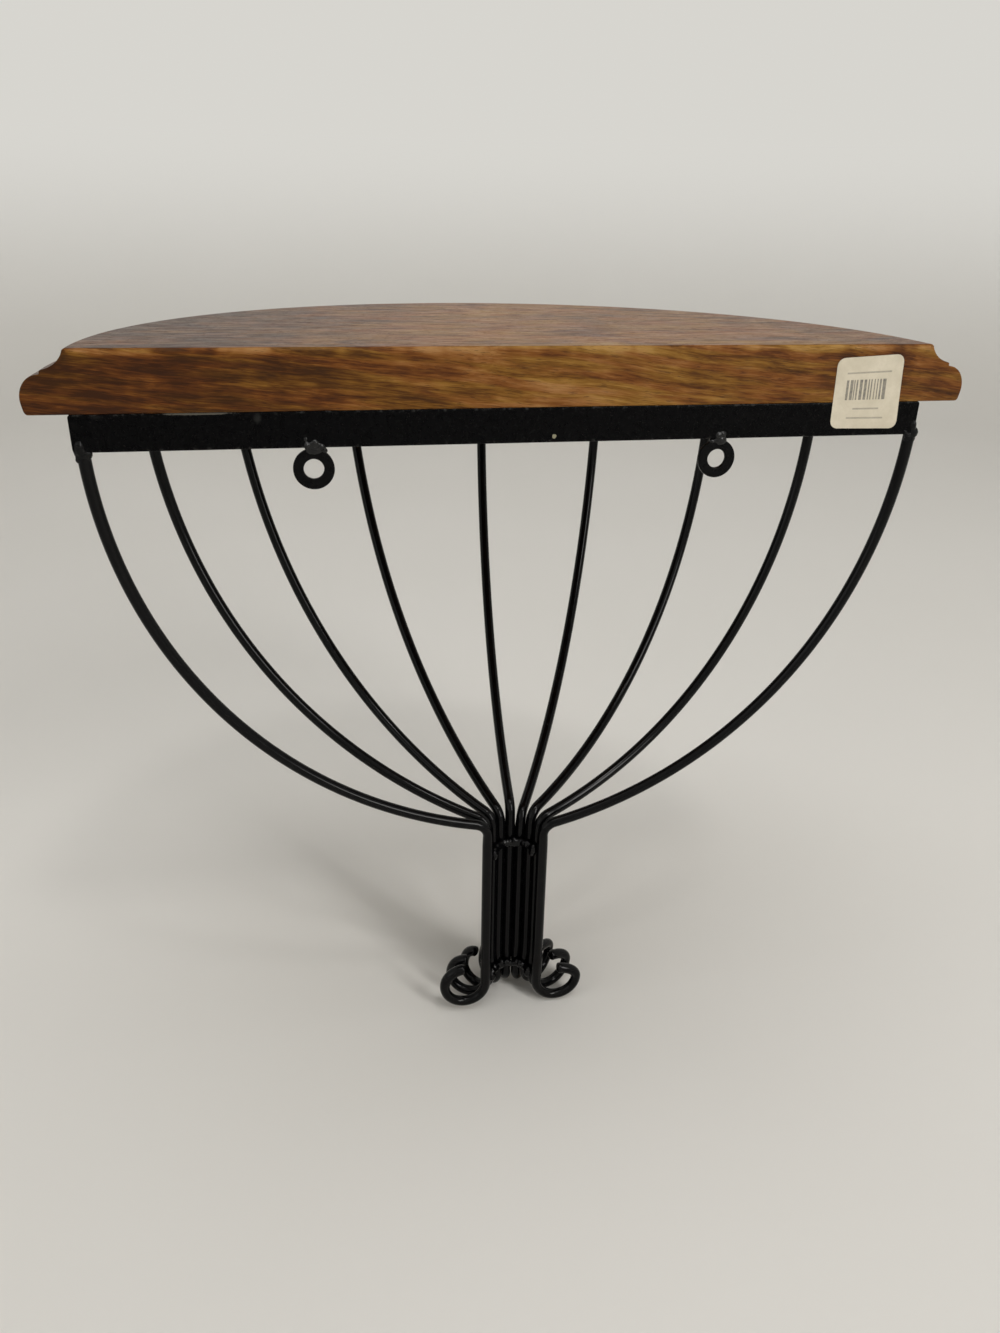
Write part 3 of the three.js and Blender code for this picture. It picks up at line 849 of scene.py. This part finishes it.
def make_tab(number):
    """A drilled plate from the CAD tab's own outline, with its edges eased."""
    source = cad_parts[f"tab_{number}"].data
    shape = bmesh.new()
    shape.from_mesh(source)
    bmesh.ops.remove_doubles(shape, verts=shape.verts, dist=0.00001)
    bmesh.ops.dissolve_limit(
        shape, angle_limit=math.radians(1), verts=shape.verts, edges=shape.edges
    )
    crisp = [e for e in shape.edges if e.calc_face_angle(0) > math.radians(50)]
    bmesh.ops.bevel(
        shape, geom=crisp, offset=0.0003, segments=2, profile=0.5,
        affect="EDGES", clamp_overlap=True,
    )
    mesh = bpy.data.meshes.new(f"tab_eased_{number}")
    shape.to_mesh(mesh)
    shape.free()
    mesh.shade_smooth()
    mesh.set_sharp_from_angle(angle=math.radians(50))
    tab = add_to_scene(f"tab_eased_{number}", mesh)
    even_shading(tab)
    return tab


def lathe_points(profile, middle, segments):
    """Points and faces of a closed turned piece, from [radius, height] in mm, ends on the axis."""
    points = []
    rings = profile[1:-1]
    for radius, height in rings:
        for k in range(segments):
            angle = 2 * math.pi * k / segments
            spot = Vector((radius * math.cos(angle), radius * math.sin(angle), height))
            points.append((middle + spot) * mm)
    faces = ring_faces(len(rings), segments)
    for ring, (_, height) in ((0, profile[0]), (len(rings) - 1, profile[-1])):
        points.append((middle + Vector((0, 0, height))) * mm)
        for k in range(segments):
            n = (k + 1) % segments
            faces.append([len(points) - 1, ring * segments + k, ring * segments + n])
    return points, faces


def make_screw(number):
    low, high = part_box(f"tab_screw_{number}")
    middle = Vector(((low.x + high.x) / 2 / mm, (low.y + high.y) / 2 / mm, 0))
    under_head = low.z / mm + screw_head_height
    crown_corner = (screw_head_radius, -screw_head_height)
    crown = bend_points((1.9, -screw_head_height), crown_corner, (screw_head_radius, -0.5), 8)
    thread = []
    for turn in range(thread_turns):
        level = 1.2 + turn * thread_pitch
        thread += [(thread_root, level), (thread_crest, level + 0.45)]
        thread += [(thread_crest, level + 0.6), (thread_root, level + 1.05)]
    profile = [(0, -screw_head_height)] + crown
    profile += [(screw_head_radius - 0.1, 0), (shank_radius, 0)] + thread
    profile += [(0.7, 14.6), (0, 15.9)]
    points, faces = lathe_points([(r, z + under_head) for r, z in profile], middle, 40)
    head = make_piece(f"screw_pan_{number}", points, faces)

    # the cross recess, cut into the head from below
    turned = math.radians(25 + 47 * number)
    cutter_mesh = bpy.data.meshes.new("recess")
    cutter_shape = bmesh.new()
    for arm in (0, math.pi / 2):
        place = Matrix.Translation((middle + Vector((0, 0, under_head - screw_head_height))) * mm)
        spin = Matrix.Rotation(turned + arm, 4, "Z")
        size = Matrix.Diagonal((recess_length * mm, recess_width * mm, recess_depth * mm, 1))
        bmesh.ops.create_cube(cutter_shape, size=1, matrix=place @ spin @ size)
    cutter_shape.to_mesh(cutter_mesh)
    cutter_shape.free()
    cutter = add_to_scene("recess", cutter_mesh)
    carve = head.modifiers.new("recess", "BOOLEAN")
    carve.object, carve.operation, carve.solver = cutter, "DIFFERENCE", "EXACT"
    carve.use_self = True
    carved = with_modifiers(head)
    head.modifiers.clear()
    head.data = carved
    carved.set_sharp_from_angle(angle=math.radians(38))
    bpy.data.objects.remove(cutter)
    return head


def zinc_plate():
    material, tree = new_material("zinc_plate")
    coordinates = node(tree, "TexCoord").outputs["Object"]
    clouds = grain_noise(tree, coordinates, (1.4, 1.4, 1.4), 3, 0.6)
    scratches = grain_noise(tree, coordinates, (3, 0.2, 0.2), 2, 0.5)
    colour = blended(tree, spread(tree, clouds, 0.3, 0.7), tint(150, 149, 143), tint(186, 186, 182))
    relief = node(tree, "Bump", {"Height": scratches, "Distance": 0.00003, "Strength": 0.5})
    shader = node(
        tree, "BsdfPrincipled",
        {"Base Color": colour, "Metallic": 0.95, "Normal": relief.outputs[0],
         "Roughness": spread(tree, clouds, 0.3, 0.7, 0.28, 0.46)},
    )
    finish_material(tree, shader)
    return material


zinc = zinc_plate()
tab_paint = paint("tab_paint", lumps=0.5, peel=0.25, chips=0.6, wear=0.0, dust=0.1)
for number in range(1, 5):
    dress(make_tab(number), tab_paint, "frame_paint", f"tab_{number}")
    dress(make_screw(number), zinc, "screw_steel", f"tab_screw_{number}")


# The price label: a small cream paper sticker with rounded corners, stuck on by hand, not quite
# square, across the joint of the board's back and the back bar. It has faint bars and rules.
label_corners = [(-123.6, 6.0), (-152.0, 7.6), (-153.9, -21.9), (-124.4, -21.4)]
label_steps = 28
label_round = 0.11
label_thickness = 0.1
label_gap = 0.04
curl_lift, curl_start, curl_reach = 0.22, 1.72, 0.28
joint_dip = 0.03


def label_spot(u, v):
    """A place on the label from its shares across and down, with the corners rounded off."""
    cu = min(max(u, label_round), 1 - label_round)
    cv = min(max(v, label_round), 1 - label_round)
    du, dv = u - cu, v - cv
    if du and dv:
        far = max(abs(du), abs(dv))
        size = math.hypot(du, dv)
        u, v = cu + du * far / size, cv + dv * far / size
    top = [a + (b - a) * u for a, b in zip(label_corners[0], label_corners[1])]
    foot = [a + (b - a) * u for a, b in zip(label_corners[3], label_corners[2])]
    return u, v, top[0] + (foot[0] - top[0]) * v, top[1] + (foot[1] - top[1]) * v


def make_label():
    sheets, places, faces = [], [], []
    size = label_steps + 1
    for lift in (label_thickness + label_gap, label_gap):
        for row in range(size):
            for column in range(size):
                u, v, x, z = label_spot(column / label_steps, row / label_steps)
                curl = curl_lift * max(0, u + (1 - v) - curl_start) / curl_reach
                curl += 0.03 * noise.noise(Vector((u * 6, v * 6, 1)))
                dip = joint_dip * math.exp(-((z - frame_top) / 0.8) ** 2)
                sheets.append(Vector((x, lift + abs(curl) - dip, z)) * mm)
                places.append((u, v, 0))
    total = size * size
    for row in range(label_steps):
        for column in range(label_steps):
            a = row * size + column
            faces.append([a, a + 1, a + 1 + size, a + size])
            faces.append([total + a, total + a + size, total + a + 1 + size, total + a + 1])
    rim = list(range(size)) + [r * size + size - 1 for r in range(1, size)]
    rim += [(size - 1) * size + k for k in range(size - 2, -1, -1)]
    rim += [r * size for r in range(size - 2, 0, -1)]
    for a, b in zip(rim, rim[1:] + rim[:1]):
        faces.append([a, b, total + b, total + a])
    label = make_piece("price_label", sheets, faces)
    spots = label.data.attributes.new("place", "FLOAT_VECTOR", "POINT")
    spots.data.foreach_set("vector", [value for place in places for value in place])
    return label


def label_paper():
    material, tree = new_material("label_paper")
    place = node(tree, "Attribute", attribute_name="place").outputs["Vector"]
    across, down, _ = node(tree, "SeparateXYZ", {0: place}).outputs
    coordinates = node(tree, "TexCoord").outputs["Object"]
    pulp = grain_noise(tree, coordinates, (1.1, 1.1, 1.1), 4, 0.65)
    smudge = grain_noise(tree, coordinates, (8, 8, 8), 2, 0.5)
    smudged = spread(tree, smudge, 0.3, 0.7)
    paper = blended(tree, smudged, tint(202, 193, 172), tint(214, 205, 185))
    paper = blended(tree, spread(tree, pulp, 0.35, 0.8, 0.0, 0.25), paper, tint(190, 178, 154))

    # uneven bars across the middle, and three thin rules
    bars = node(tree, "ValToRGB", {0: across})
    bars.color_ramp.interpolation = "CONSTANT"
    draw = random.Random(12)
    stops = bars.color_ramp.elements
    stops[0].color, stops[1].position = (0, 0, 0, 1), 0.9
    stops[1].color = (0, 0, 0, 1)
    spot = 0.17
    for _ in range(12):
        for shade in (1, 0):
            made = stops.new(spot)
            made.color = (shade, shade, shade, 1)
            spot += draw.uniform(0.014, 0.056) if shade else draw.uniform(0.012, 0.03)
    below, above = spread(tree, down, 0.31, 0.32), spread(tree, down, 0.6, 0.59)
    band = sums(tree, "MULTIPLY", below, above)
    ink = sums(tree, "MULTIPLY", band, bars.outputs[0])
    for level, start, end in ((0.22, 0.16, 0.84), (0.72, 0.3, 0.7), (0.85, 0.22, 0.78)):
        rule = sums(tree, "COMPARE", down, level, 0.012)
        rule = sums(tree, "MULTIPLY", rule, spread(tree, across, start, start + 0.01))
        rule = sums(tree, "MULTIPLY", rule, spread(tree, across, end, end - 0.01, 0, 0.6))
        ink = sums(tree, "MAXIMUM", ink, rule)
    ink = sums(tree, "MULTIPLY", ink, spread(tree, pulp, 0.2, 0.7, 0.95, 0.6))
    colour = blended(tree, ink, paper, tint(88, 85, 82))
    relief = node(tree, "Bump", {"Height": pulp, "Distance": 0.00003, "Strength": 0.5})
    shader = node(
        tree, "BsdfPrincipled",
        {"Base Color": colour, "Roughness": spread(tree, pulp, 0.3, 0.7, 0.5, 0.7),
         "Normal": relief.outputs[0]},
    )
    finish_material(tree, shader)
    return material


dress(make_label(), label_paper(), None)


# The studio: a round pale floor that curves up into a wall all round, on which the shelf stands
# on its scrolls. A tall lamp like a window stands beside the camera, with a small and a wide
# one overhead, a weak one on the other side, and a pale sky.
floor_level = min(p.z for line in wire_lines for p in line) * mm - wire_radius * mm
floor_radius, wall_bend, wall_height, floor_sides = 1.7, 0.8, 2.6, 96
haze_height = 0.5
sky_colour, sky_strength, sky_light = (1.0, 0.98, 0.92, 1), 0.68, 0.22


def seen_directly(tree):
    """One where the camera, a gloss or a glass looks straight at the backdrop, or else zero."""
    rays = node(tree, "LightPath").outputs
    mirrored = sums(tree, "MAXIMUM", rays["Is Glossy Ray"], rays["Is Transmission Ray"])
    return sums(tree, "MAXIMUM", rays["Is Camera Ray"], mirrored)


def studio_paint():
    """Pale matt paint that fades into the sky up the wall, and is clear when seen from below."""
    material, tree = new_material("studio_paint")
    coordinates = node(tree, "TexCoord").outputs["Object"]
    clouds = grain_noise(tree, coordinates, (300, 300, 300), 2, 0.5)
    colour = blended(tree, clouds, tint(222, 220, 215), tint(226, 224, 220))
    matt = node(
        tree, "BsdfPrincipled",
        {"Base Color": colour, "Roughness": 0.85, "Specular IOR Level": 0.2},
    )
    level = node(tree, "SeparateXYZ", {0: coordinates}).outputs[2]
    risen = spread(tree, level, floor_level, floor_level + haze_height)
    haze = sums(tree, "MULTIPLY", seen_directly(tree), risen)
    glow = node(tree, "Emission", {"Color": sky_colour, "Strength": sky_strength})
    faded = node(tree, "MixShader", {0: haze, 1: matt.outputs[0], 2: glow.outputs[0]})
    outside = node(tree, "NewGeometry").outputs["Backfacing"]
    clear = node(tree, "BsdfTransparent")
    shown = node(tree, "MixShader", {0: outside, 1: faded.outputs[0], 2: clear.outputs[0]})
    finish_material(tree, shown)
    return material


def make_floor():
    profile = [(0.35 * k, 0) for k in range(1, 5)] + [(floor_radius, 0)]
    profile += arc_points((floor_radius, wall_bend), wall_bend, wall_bend, -90, 0, 20)[1:]
    profile.append((floor_radius + wall_bend, wall_height))
    points, faces = [Vector((0, 0, floor_level))], []
    for radius, height in profile:
        for k in range(floor_sides):
            angle = 2 * math.pi * k / floor_sides
            x, y = radius * math.cos(angle), radius * math.sin(angle)
            points.append(Vector((x, y, floor_level + height)))
    for k in range(floor_sides):
        n = (k + 1) % floor_sides
        faces.append([0, 1 + k, 1 + n])
        for r in range(len(profile) - 1):
            low, high = 1 + r * floor_sides, 1 + (r + 1) * floor_sides
            faces.append([low + k, high + k, high + n, low + n])
    mesh = bpy.data.meshes.new("studio_floor")
    mesh.from_pydata([tuple(p) for p in points], [], faces)
    mesh.shade_smooth()
    floor = add_to_scene("studio_floor", mesh)
    floor.data.materials.append(studio_paint())


def make_lamp(name, place, aim, width, height, power, warmth):
    lamp = bpy.data.lights.new(name, "AREA")
    lamp.shape, lamp.size, lamp.size_y = "RECTANGLE", width, height
    lamp.energy, lamp.color = power, warmth
    holder = add_to_scene(name, lamp)
    holder.location = place
    holder.rotation_euler = (Vector(aim) - Vector(place)).to_track_quat("-Z", "Y").to_euler()


make_floor()
make_lamp("window", (-1.0, 1.5, 0.95), (0, 0, -0.15), 0.4, 1.3, 18, (1, 0.985, 0.96))
make_lamp("ceiling lamp", (-0.3, 0.85, 1.9), (0, 0, -0.15), 0.26, 0.26, 5, (1, 0.98, 0.95))
make_lamp("top light", (0.1, -0.3, 2.1), (0, -0.2, -0.1), 2.0, 2.0, 18.5, (1, 1, 1))
make_lamp("fill", (1.6, 1.0, 0.7), (0, 0, -0.1), 1.2, 1.2, 3, (0.97, 0.985, 1))
world = bpy.data.worlds.new("studio")
world.use_nodes = True
sky = world.node_tree
sky.nodes["Background"].inputs["Color"].default_value = sky_colour
strength = sums(sky, "MULTIPLY_ADD", seen_directly(sky), sky_strength - sky_light, sky_light)
sky.links.new(strength, sky.nodes["Background"].inputs["Strength"])
bpy.context.scene.world = world
